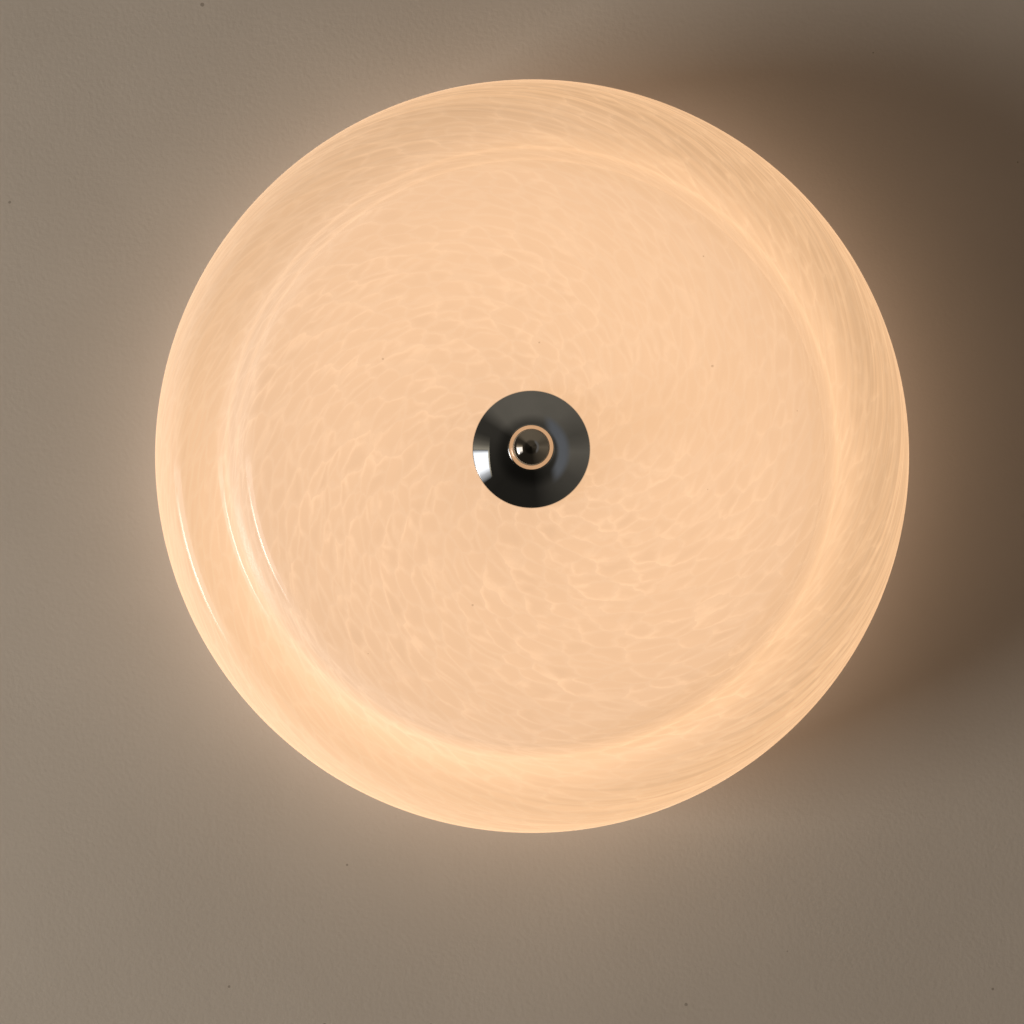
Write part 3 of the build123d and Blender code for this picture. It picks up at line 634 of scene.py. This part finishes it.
def effect_group(name, inputs, outputs):
    """An empty node group with these sockets: its tree, what comes in and what goes out."""
    group = bpy.data.node_groups.new(name, "ShaderNodeTree")
    for label, kind, start in inputs:
        socket = group.interface.new_socket(label, in_out="INPUT", socket_type=kind)
        socket.default_value = start
    for label, kind in outputs:
        group.interface.new_socket(label, in_out="OUTPUT", socket_type=kind)
    return group, group.nodes.new("NodeGroupInput").outputs, group.nodes.new("NodeGroupOutput").inputs


def placed(tree, group, settings):
    """The outputs of a node group that is placed with its own settings."""
    return add(tree, "ShaderNodeGroup", settings, node_tree=group).outputs


def surface_drift_group():
    """Uneven finish: two tones, a roughness that wanders and a fine grain."""
    colour, number = "NodeSocketColor", "NodeSocketFloat"
    tree, given, out = effect_group(
        "surface_drift",
        [
            ("Tone", colour, (0.8, 0.8, 0.8, 1)),
            ("Second tone", colour, (0.7, 0.7, 0.7, 1)),
            ("Tone scale", number, 40.0),
            ("Rough low", number, 0.3),
            ("Rough high", number, 0.5),
            ("Rough scale", number, 90.0),
            ("Grain scale", number, 900.0),
        ],
        [("Colour", colour), ("Roughness", number), ("Grain", number)],
    )
    place = object_place(tree)
    tone = spread(tree, noise(tree, place, given["Tone scale"], detail=4.0), *tone_span)
    rough = noise(tree, place, given["Rough scale"], detail=5.0)
    give(
        tree,
        out,
        {
            "Colour": blend_colour(tree, tone, given["Tone"], given["Second tone"]),
            "Roughness": spread(tree, rough, *noise_span, given["Rough low"], given["Rough high"]),
            "Grain": noise(tree, place, given["Grain scale"]),
        },
    )
    return tree


def dust_group():
    """A thin film of dust on what faces up."""
    colour, number = "NodeSocketColor", "NodeSocketFloat"
    tree, given, out = effect_group(
        "dust_film",
        [("Colour", colour, (0.8, 0.8, 0.8, 1)), ("Dust", colour, (*dust_tone, 1)), ("Amount", number, 0.2)],
        [("Colour", colour)],
    )
    facing = add(tree, "ShaderNodeTexCoord").outputs["Normal"]
    upward = spread(tree, parts_of(tree, facing)["Z"], *dust_slope)
    patches = noise(tree, object_place(tree), dust_scale, detail=6.0, roughness=0.65)
    patchy = calc(tree, "MULTIPLY", upward, spread(tree, patches, *dust_span))
    mask = calc(tree, "MULTIPLY", patchy, given["Amount"])
    give(tree, out, {"Colour": blend_colour(tree, mask, given["Colour"], given["Dust"])})
    return tree


def specks_group():
    """Small round specks of several sizes, one in each of a share of the cells."""
    number = "NodeSocketFloat"
    tree, given, out = effect_group(
        "few_specks",
        [("Scale", number, 20.0), ("Size", number, 0.02), ("Share", number, 0.3)],
        [("Mask", number)],
    )
    inputs = {"Vector": object_place(tree), "Scale": given["Scale"]}
    specks = add(tree, "ShaderNodeTexVoronoi", inputs, feature="F1", voronoi_dimensions="2D").outputs
    chance = channels_of(tree, specks["Color"])
    dot = calc(tree, "LESS_THAN", specks["Distance"], calc(tree, "MULTIPLY", chance[1], given["Size"]))
    chosen = calc(tree, "LESS_THAN", chance[0], given["Share"])
    give(tree, out, {"Mask": calc(tree, "MULTIPLY", dot, chosen)})
    return tree


surface_drift = surface_drift_group()
dust_film = dust_group()
few_specks = specks_group()


# Finishes
def new_material(name):
    """An empty material with a Principled shader: its tree and the shader's inputs."""
    made = bpy.data.materials.new(name)
    made.use_nodes = True
    tree = made.node_tree
    return made, tree, tree.nodes["Principled BSDF"].inputs


def solid_finish(name, tones, rough, metallic=0.0, scales=usual_scales, grain=0.02, coat=0.0, dust=0.0):
    """A finish with wandering tone and roughness and a fine grain; dust lies on what faces up."""
    made, tree, shader = new_material(name)
    settings = {
        "Tone": (*tones[0], 1),
        "Second tone": (*tones[1], 1),
        "Tone scale": scales[0],
        "Rough low": rough[0],
        "Rough high": rough[1],
        "Rough scale": scales[1],
        "Grain scale": scales[2],
    }
    drift = placed(tree, surface_drift, settings)
    colour = drift["Colour"]
    if dust:
        colour = placed(tree, dust_film, {"Colour": colour, "Amount": dust})["Colour"]
    give(
        tree,
        shader,
        {
            "Base Color": colour,
            "Roughness": drift["Roughness"],
            "Normal": bump(tree, drift["Grain"], grain, grain_depth),
            "Metallic": metallic,
            "Coat Weight": coat,
            "Coat Roughness": coat_rough,
        },
    )
    return made


def growing(tree, value, rates):
    """A value times its first rate, and its square times the second."""
    return calc(tree, "MULTIPLY", value, calc(tree, "MULTIPLY_ADD", value, rates[1], rates[0]))


def wound_place(tree, turn, girth, rise):
    """A place on a drum, for figures that close on themselves round the glass."""
    across = calc(tree, "MULTIPLY", girth, calc(tree, "COSINE", turn))
    along = calc(tree, "MULTIPLY", girth, calc(tree, "SINE", turn))
    return add(tree, "ShaderNodeCombineXYZ", {"X": across, "Y": along, "Z": rise}).outputs[0]


def side_share(tree, angle, way):
    """One on the side of the glass that lies that way round, and minus one on the far side."""
    return calc(tree, "COSINE", calc(tree, "SUBTRACT", angle, radians(way)))


def cell_tail(tree, turned, inside):
    """How far a point lies towards the tail of its cell, which the twist drew out."""
    back = calc(tree, "MULTIPLY", calc(tree, "SINE", turned), -1.0)
    tail_way = add(tree, "ShaderNodeCombineXYZ", {"X": back, "Y": calc(tree, "COSINE", turned)}).outputs[0]
    tail = vector_calc(tree, "DOT_PRODUCT", inside, tail_way)["Value"]
    return spread(tree, tail, tail_span[0] * cell_size, tail_span[1] * cell_size)


def cell_presence(tree, run, place, clouds, rim_clear):
    """How much the cells show: in clouds, less on one side of the disc, and with the streaks on the rim."""
    across = calc(tree, "MULTIPLY", place["Y"], clear_way[1])
    aside = calc(tree, "MULTIPLY_ADD", place["X"], clear_way[0], across)
    disc_clear = spread(tree, aside, *clear_span, clear_least, 1.0)
    shown = mix_values(tree, spread(tree, run, *outer_run), disc_clear, rim_clear)
    return calc(tree, "MULTIPLY", spread(tree, clouds, *cloud_span, cloud_least, 1.0), shown)


def swirl_cells(tree, run, place, angle, rim_clear):
    """Twisted cells: the brightness that they give, their veins, and the broad and fine clouds in them."""
    turned = calc(tree, "ADD", angle, growing(tree, run, cell_twist))
    flat = wound_place(tree, turned, growing(tree, run, cell_girth), growing(tree, run, cell_rise))
    warp = noise(tree, flat, warp_scale, warp_detail, warp_roughness, output="Color")
    shift = vector_calc(tree, "SUBTRACT", warp, (noise_middle,) * 3)["Vector"]
    bent = vector_calc(tree, "ADD", flat, scaled(tree, shift, cell_warp))["Vector"]
    cell_inputs = {"Vector": bent, "Scale": 1 / cell_size, "Randomness": 1.0}
    edge = add(tree, "ShaderNodeTexVoronoi", cell_inputs, feature="DISTANCE_TO_EDGE").outputs["Distance"]
    cells = add(tree, "ShaderNodeTexVoronoi", cell_inputs, feature="F1").outputs
    clouds = noise(tree, bent, cloud_scale, detail=3.0)
    wisps = noise(tree, bent, wisp_scale, detail=3.0)
    patches = noise(tree, flat, patch_scale)

    width = spread(tree, patches, *noise_span, *vein_width, smooth=False)
    vein = spread(tree, edge, 0.0, width, 1.0, 0.0)
    tail = cell_tail(tree, turned, vector_calc(tree, "SUBTRACT", bent, cells["Position"])["Vector"])
    depth = calc(tree, "POWER", channels_of(tree, cells["Color"])[0], 2.0)
    pits = calc(tree, "MULTIPLY", spread(tree, edge, *pit_span), depth)
    broken = calc(tree, "MULTIPLY", vein, spread(tree, patches, *patch_span, patch_least, 1.0))
    broken = calc(tree, "MULTIPLY", broken, calc(tree, "MULTIPLY_ADD", tail, 1 - tail_least, tail_least))

    figure = calc(tree, "MULTIPLY_ADD", broken, vein_strength, calc(tree, "MULTIPLY", tail, tail_strength))
    figure = calc(tree, "MULTIPLY_ADD", pits, -pit_strength, figure)
    figure = calc(tree, "MULTIPLY", figure, cell_presence(tree, run, place, clouds, rim_clear))
    cloudy = calc(tree, "SUBTRACT", clouds, noise_middle)
    return calc(tree, "MULTIPLY_ADD", cloudy, cloud_strength, figure), vein, clouds, wisps


def swirl_streaks(tree, run, angle, rim_clear):
    """Streaks round the rim: the brightness that they give, and the broad bands in them."""
    turned = calc(tree, "ADD", angle, growing(tree, run, streak_twist))
    drawn = wound_place(tree, turned, streak_girth, calc(tree, "MULTIPLY", run, streak_rise))
    bands = noise(tree, drawn, band_scale, detail=3.0)
    threads = noise(tree, drawn, thread_scale)
    band = calc(tree, "SUBTRACT", spread(tree, bands, *band_span), noise_middle)
    band = calc(tree, "MULTIPLY", band, spread(tree, run, *band_run, *band_strength))
    thread_rise = spread(tree, run, *thread_run, 0.0, thread_strength)
    thread = calc(tree, "MULTIPLY", spread(tree, threads, *thread_span), thread_rise)
    streaks = calc(tree, "MULTIPLY", calc(tree, "ADD", band, thread), rim_clear)
    return calc(tree, "MULTIPLY", streaks, spread(tree, run, *wall_fade_run, 1.0, wall_fade)), bands


def glow_tone(glow, warmth):
    """Colour of a glow, as a share of the most that the ramp can hold."""
    return tuple(part / glow_most for part in (glow * (1 + warmth / 3), glow, glow * (1 - warmth)))


def wall_glow(tree, run, angle, bright):
    """The glow along the wall, times the brightness of the swirl, with painted light on one side of the disc
    and of the rim and painted shade on one side of the step.
    """
    ramp = add(tree, "ShaderNodeValToRGB", {0: calc(tree, "DIVIDE", run, glow_reach)})
    set_stops(ramp, [(where / glow_reach, glow_tone(glow, warmth)) for where, glow, warmth in glow_stops])
    # Painted light: the disc brighter on one side, and the rim brighter on one side and in two lobes round
    # it
    disc_painted_light_share = calc(tree, "MULTIPLY", side_share(tree, angle, disc_painted_light_way), disc_painted_light)
    painted_light_lobes = calc(tree, "COSINE", calc(tree, "MULTIPLY_ADD", angle, 2.0, -2 * radians(rim_painted_lobe_way)))
    rim_painted_light_share = calc(tree, "MULTIPLY", side_share(tree, angle, rim_painted_light_way), rim_painted_light)
    rim_painted_light_share = calc(tree, "MULTIPLY_ADD", painted_light_lobes, rim_painted_lobe, rim_painted_light_share)
    uneven = mix_values(tree, spread(tree, run, *rim_run), disc_painted_light_share, rim_painted_light_share)
    # Painted shade: the step's glow darker on one side
    step_end = spread(tree, run, *step_end_run, 1.0, 0.0)
    step = calc(tree, "MULTIPLY", spread(tree, run, *step_start_run), step_end)
    painted_shade_side = calc(tree, "MAXIMUM", side_share(tree, angle, step_painted_shade_way), 0.0)
    uneven = calc(tree, "MULTIPLY_ADD", calc(tree, "MULTIPLY", step, painted_shade_side), -step_painted_shade, uneven)
    full = calc(tree, "MULTIPLY_ADD", uneven, glow_most, glow_most)
    return scaled(tree, ramp.outputs[0], calc(tree, "MULTIPLY", bright, full))


def opal_glass():
    """Blown opal glass, lit from inside, with a twisted swirl of cells and streaks."""
    made, tree, shader = new_material("opal_glass")
    run = add(tree, "ShaderNodeAttribute", attribute_name="wall_run").outputs["Fac"]
    place = parts_of(tree, object_place(tree))
    angle = calc(tree, "ARCTAN2", place["Y"], place["X"])
    rim_side = side_share(tree, angle, rim_streak_way)
    rim_clear = spread(tree, rim_side, *rim_streak_span, rim_streak_least, 1.0)
    figure, vein, clouds, wisps = swirl_cells(tree, run, place, angle, rim_clear)
    streaks, bands = swirl_streaks(tree, run, angle, rim_clear)
    bright = calc(tree, "ADD", calc(tree, "MULTIPLY_ADD", figure, figure_strength, 1.0), streaks)
    glow = wall_glow(tree, run, angle, bright)
    lit = blend_colour(tree, 1.0, blend_colour(tree, vein, *glow_tones), glow, "MULTIPLY")
    base = blend_colour(tree, vein, *glass_tones)
    speck = placed(tree, few_specks, glass_specks)["Mask"]
    glow_speck = calc(tree, "MULTIPLY", speck, speck_glow_share)
    base_speck = calc(tree, "MULTIPLY", speck, speck_tone_share)
    height = calc(tree, "MULTIPLY_ADD", bands, band_bump_share, clouds)
    give(
        tree,
        shader,
        {
            "Emission Color": blend_colour(tree, glow_speck, lit, speck_glow),
            "Emission Strength": glow_strength,
            "Base Color": blend_colour(tree, base_speck, base, speck_tone),
            "Roughness": spread(tree, wisps, *noise_span, *glass_rough),
            "IOR": glass_index,
            "Normal": bump(tree, height, glass_bump, glass_bump_depth),
        },
    )
    return made


def bulb_glass():
    """Opal bulb glass, lit."""
    made, tree, shader = new_material("bulb_glass")
    drift = noise(tree, object_place(tree), bulb_drift_scale, detail=3.0)
    share = spread(tree, drift, *noise_span)
    give(
        tree,
        shader,
        {
            "Emission Color": blend_colour(tree, share, *bulb_glow_tones),
            "Emission Strength": bulb_glow_strength,
            "Base Color": blend_colour(tree, share, *bulb_tones),
            "Roughness": spread(tree, drift, *noise_span, *bulb_rough),
        },
    )
    return made


def add_stripe(lead):
    """Long yellow stripes along a lead."""
    tree = lead.node_tree
    shader = tree.nodes["Principled BSDF"].inputs
    facing = parts_of(tree, add(tree, "ShaderNodeTexCoord").outputs["Normal"])
    stripe = spread(tree, calc(tree, "ADD", facing["Z"], facing["X"]), -stripe_edge, stripe_edge)
    ground = shader["Base Color"].links[0].from_socket
    give(tree, shader, {"Base Color": blend_colour(tree, stripe, ground, stripe_yellow)})


def ceiling_finish():
    """Fine plaster that shows only from below."""
    made, tree, shader = new_material("ceiling_plaster")
    place = object_place(tree)
    broad = noise(tree, place, plaster_broad_scale, detail=4.0)
    fine = noise(tree, place, plaster_fine_scale, detail=3.0)
    coarse = noise(tree, place, plaster_coarse_scale)
    fleck = placed(tree, few_specks, plaster_flecks)["Mask"]
    fleck = calc(tree, "MULTIPLY", fleck, fleck_tone_share)
    plaster_tone = blend_colour(tree, spread(tree, broad, *noise_span), *plaster_tones)
    height = calc(tree, "MULTIPLY_ADD", coarse, plaster_coarse_share, fine)
    give(
        tree,
        shader,
        {
            "Base Color": blend_colour(tree, fleck, plaster_tone, fleck_tone),
            "Roughness": plaster_rough,
            "Specular IOR Level": plaster_specular,
            "Normal": bump(tree, height, plaster_bump, grain_depth),
        },
    )
    behind = add(tree, "ShaderNodeNewGeometry").outputs["Backfacing"]
    clear = add(tree, "ShaderNodeBsdfTransparent").outputs[0]
    plaster = tree.nodes["Principled BSDF"].outputs[0]
    shown = add(tree, "ShaderNodeMixShader", {0: behind, 1: plaster, 2: clear}).outputs[0]
    tree.links.new(shown, tree.nodes["Material Output"].inputs["Surface"])
    return made


finishes = {name: solid_finish(name, **settings) for name, settings in solid_finishes.items()}
add_stripe(finishes["lead_green_yellow"])
finishes["opal_glass"] = opal_glass()
finishes["bulb_glass"] = bulb_glass()
finishes["ceiling_plaster"] = ceiling_finish()


def dress_nodes():
    """Give every piece of the frame the finish of its material slot, and the ball its own chrome, tinted
    warm to paint a warmer reflection of the glowing glass.
    """
    for entry in frame["record"]["subparts"]:
        piece = nodes[entry["node"]]
        piece.data.materials.clear()
        piece.data.materials.append(finishes[entry["material_slot"]])
    nodes["finial_ball"].data.materials[0] = finishes["ball_chrome_painted_warm_reflection"]


# Stage, lights and camera
def face_down(sheet):
    """Turn a flat sheet so that its face looks down."""
    if sheet.data.polygons[0].normal.z > 0:
        sheet.data.flip_normals()


def build_ceiling():
    """Ceiling round the light, with an opening behind the pan."""
    clear_selection()
    bpy.ops.mesh.primitive_circle_add(vertices=ceiling_segments, radius=ceiling_opening, fill_type="NOTHING")
    ceiling = bpy.context.object
    ceiling.name = "ceiling"
    bpy.ops.object.mode_set(mode="EDIT")
    bpy.ops.mesh.select_all(action="SELECT")
    bpy.ops.mesh.extrude_edges_move(TRANSFORM_OT_translate={"value": (0, 0, 0)})
    wide = ceiling_reach / ceiling_opening
    bpy.ops.transform.resize(value=(wide, wide, 1), center_override=(0, 0, 0))
    bpy.ops.object.mode_set(mode="OBJECT")
    face_down(ceiling)
    ceiling.data.materials.append(finishes["ceiling_plaster"])
    return ceiling


def build_patch():
    """Patch of ceiling behind the pan that only the camera sees."""
    clear_selection()
    bpy.ops.mesh.primitive_circle_add(
        vertices=ceiling_segments, radius=ceiling_opening, fill_type="NGON", location=(0, 0, patch_gap)
    )
    patch = bpy.context.object
    patch.name = "ceiling_patch"
    bpy.ops.object.transform_apply(location=True)
    face_down(patch)
    patch.data.materials.append(finishes["ceiling_plaster"])
    patch.visible_shadow = False
    patch.visible_diffuse = False
    patch.visible_glossy = False
    return patch


def build_floor():
    """Plain pale floor far below, left out of the gloss and of the light that it would throw back."""
    clear_selection()
    bpy.ops.mesh.primitive_plane_add(size=2 * floor_reach, location=(0, 0, floor_level))
    floor = bpy.context.object
    floor.name = "floor"
    bpy.ops.object.transform_apply(location=True)
    floor.data.materials.append(finishes["pale_floor"])
    floor.visible_glossy = False
    floor.visible_diffuse = False
    return floor


def build_stage():
    """Ceiling, the patch behind the pan, and the floor."""
    ceiling = build_ceiling()
    patch = build_patch()
    floor = build_floor()


def area_light(name, place, aim, width, height, power, colour):
    """A soft rectangular light that faces a point."""
    data = bpy.data.lights.new(name, "AREA")
    data.shape = "RECTANGLE"
    data.size = width
    data.size_y = height
    data.energy = power
    data.color = colour
    made = bpy.data.objects.new(name, data)
    bpy.context.scene.collection.objects.link(made)
    made.location = place
    made.rotation_euler = (Vector(aim) - Vector(place)).to_track_quat("-Z", "Y").to_euler()
    return made


def grade_light(light, glare):
    """Let a light's strength change across its width: place on the width and strength."""
    light.use_nodes = True
    tree = light.node_tree
    across = parts_of(tree, add(tree, "ShaderNodeNewGeometry").outputs["Parametric"])["X"]
    most = max(strength for _, strength in glare)
    ramp = add(tree, "ShaderNodeValToRGB", {0: across})
    set_stops(ramp, [(where, (strength / most,) * 3) for where, strength in glare])
    give(tree, tree.nodes["Emission"].inputs, {"Strength": calc(tree, "MULTIPLY", ramp.outputs[0], most)})


def build_panels():
    """Panels that shine in the gloss and light nothing else."""
    for name, span, levels, colour, glare in panels:
        width, height = span[1] - span[0], levels[0] - levels[1]
        across, middle = sum(span) / 2, sum(levels) / 2
        place = (-panel_distance, across, middle)
        panel = area_light(name, place, (0, across, middle), width, height, pi * width * height, colour)
        panel.visible_diffuse = False
        grade_light(panel.data, glare)


def build_lights():
    """Daylight from one side that the gloss doesn't show, and a soft light above for the pan."""
    height, middle = daylight_levels[0] - daylight_levels[1], sum(daylight_levels) / 2
    side = Vector((cos(radians(daylight_azimuth)), sin(radians(daylight_azimuth)), 0))
    place = side * daylight_distance + Vector((0, 0, middle))
    power = daylight_glare * pi * daylight_width * height
    daylight = area_light("daylight", place, (0, 0, middle), daylight_width, height, power, daylight_warmth)
    daylight.visible_glossy = False
    width = top_light_size
    area_light("top_light", top_light_place, (0, 0, 0), width, width, top_light_power, top_light_colour)


def gloss_surroundings(tree, way):
    """What the gloss shows in each direction."""
    turn = calc(tree, "DIVIDE", calc(tree, "ARCTAN2", way["Y"], way["X"]), 2 * pi)
    ramp = add(tree, "ShaderNodeValToRGB", {0: calc(tree, "FRACT", turn)})
    tints = [(where / 360, tuple(tone * part for part in gloss_warmth)) for where, tone in gloss_tones]
    set_stops(ramp, tints)
    level = spread(tree, way["Z"], *gloss_low_span, gloss_low_share, 1.0)
    band_end = spread(tree, way["Z"], *pale_fall, 1.0, 0.0)
    band = calc(tree, "MULTIPLY", spread(tree, way["Z"], *pale_rise), band_end)
    sideways = calc(tree, "MULTIPLY", way["Y"], sin(radians(pale_way)))
    facing = calc(tree, "MULTIPLY_ADD", way["X"], cos(radians(pale_way)), sideways)
    band = calc(tree, "MULTIPLY", band, spread(tree, facing, *pale_side))
    return blend_colour(tree, band, scaled(tree, ramp.outputs[0], level), pale_tone)


def build_surroundings():
    """Dim light from all round, what the gloss shows instead, and the backdrop that the camera sees."""
    world = bpy.data.worlds.new("surroundings")
    bpy.context.scene.world = world
    world.use_nodes = True
    tree = world.node_tree
    way = parts_of(tree, add(tree, "ShaderNodeTexCoord").outputs["Generated"])
    rays = add(tree, "ShaderNodeLightPath").outputs
    light = blend_colour(tree, spread(tree, way["Y"], *dim_span), *dim_tones)
    light = blend_colour(tree, rays["Is Glossy Ray"], light, gloss_surroundings(tree, way))
    light = blend_colour(tree, spread(tree, way["Z"], *upper_span), light, upper_tone)
    shown = blend_colour(tree, rays["Is Camera Ray"], light, backdrop_tone)
    give(tree, tree.nodes["Background"].inputs, {"Color": shown})


def build_camera():
    """The photograph's viewpoint."""
    data = bpy.data.cameras.new("camera")
    data.sensor_width = sensor_millimetres
    data.lens = focal_pixels / photo_size * sensor_millimetres
    data.clip_start = camera_near
    made = bpy.data.objects.new("camera", data)
    bpy.context.scene.collection.objects.link(made)
    back = (camera_place - camera_aim).normalized()
    right = camera_up.cross(back).normalized()
    turned = Matrix((right, back.cross(right), back)).transposed()
    made.matrix_world = Matrix.Translation(camera_place) @ turned.to_4x4()
    bpy.context.scene.camera = made


glass_dish()
threaded_tube()
bulb_screw_bases()
dress_nodes()
build_stage()
build_panels()
build_lights()
build_surroundings()
build_camera()
bpy.context.scene.view_settings.view_transform = "Standard"
